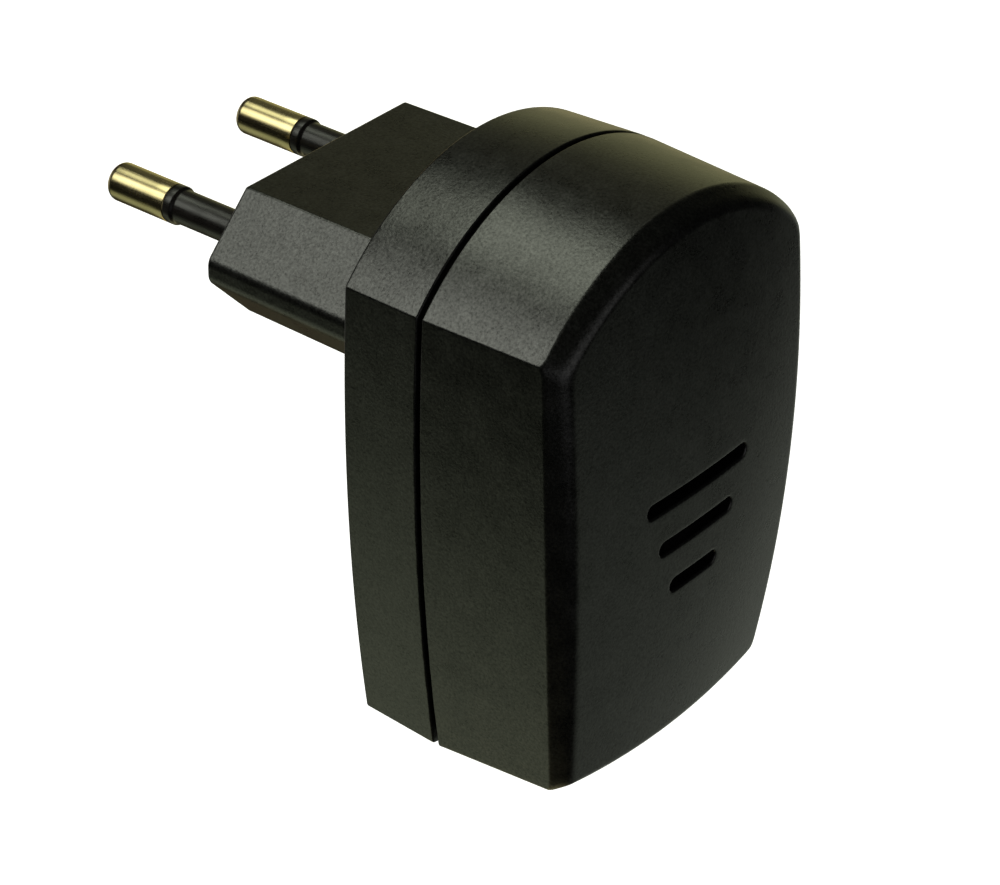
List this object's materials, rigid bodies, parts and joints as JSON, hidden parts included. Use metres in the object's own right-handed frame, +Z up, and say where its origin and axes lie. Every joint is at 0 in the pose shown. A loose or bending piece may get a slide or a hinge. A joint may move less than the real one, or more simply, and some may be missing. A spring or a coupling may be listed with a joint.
{
  "type": "plug-in ultrasonic pest repeller",
  "caption": "Plug-in ultrasonic pest repeller: two-shell black case with an arched top, sound slots in its crowned face and a two-pin Europlug on its back.",
  "frame": {"origin": "centre of the plug nose's end face, midway between the two contact pins", "axes": "+Y into the wall socket along the pins, +Z up, +X to the right as seen from the front"},
  "size_m": [0.0404, 0.0651, 0.0603],
  "materials": {
    "case_plastic": "fine spark-eroded texture with a soft satin sheen",
    "pin_metal": "nickel-plated brass, turned and polished",
    "sleeve_plastic": "glossy moulded insulation",
    "screw_steel": "zinc-plated",
    "lead_brown": "semi-gloss insulation",
    "lead_blue": "semi-gloss insulation",
    "lead_red": "semi-gloss insulation",
    "lead_black": "semi-gloss insulation",
    "board_laminate": "paper-phenolic laminate",
    "film_case": "moulded box with resin fill",
    "resistor_grey": "flameproof cement coating",
    "resistor_tan": "lacquer with colour bands",
    "diode_black": "moulded epoxy with a pale cathode band",
    "diode_glass": "tinted glass",
    "capacitor_sleeve": "shrunk sleeve over an aluminium can",
    "ceramic_disc": "dipped coating",
    "chip_epoxy": "moulded epoxy",
    "ferrite": "pressed ferrite",
    "copper_wire": "enamelled copper wire",
    "transducer_plastic": "plain moulded",
    "cone_aluminium": "spun",
    "plate_brass": "rolled",
    "piezo_white": "silvered ceramic",
    "foam": "closed-cell foam",
    "terminal_tin": "tinned"
  },
  "bodies": {
    "root": {"rear_shell": "case_plastic", "front_shell": "case_plastic", "case_screws": "screw_steel", "plug_pin_left": "pin_metal", "plug_pin_right": "pin_metal", "pin_sleeve_left": "sleeve_plastic", "pin_sleeve_right": "sleeve_plastic", "mains_lead_live": "lead_brown", "mains_lead_neutral": "lead_blue", "circuit_board": "board_laminate", "board_screws": "screw_steel", "film_capacitor": "film_case", "fusible_resistor": "resistor_grey", "resistors": "resistor_tan", "rectifier_diodes": "diode_black", "zener_diode": "diode_glass", "smoothing_capacitor": "capacitor_sleeve", "coupling_capacitor": "capacitor_sleeve", "ceramic_capacitors": "ceramic_disc", "oscillator_chip": "chip_epoxy", "drive_transistors": "chip_epoxy", "coil_core": "ferrite", "coil_winding": "copper_wire", "transducer_housing": "transducer_plastic", "transducer_cone": "cone_aluminium", "piezo_plate": "plate_brass", "piezo_ceramic": "piezo_white", "transducer_gasket": "foam", "transducer_terminals": "terminal_tin", "transducer_lead_red": "lead_red", "transducer_lead_black": "lead_black"}
  },
  "joints": []
}
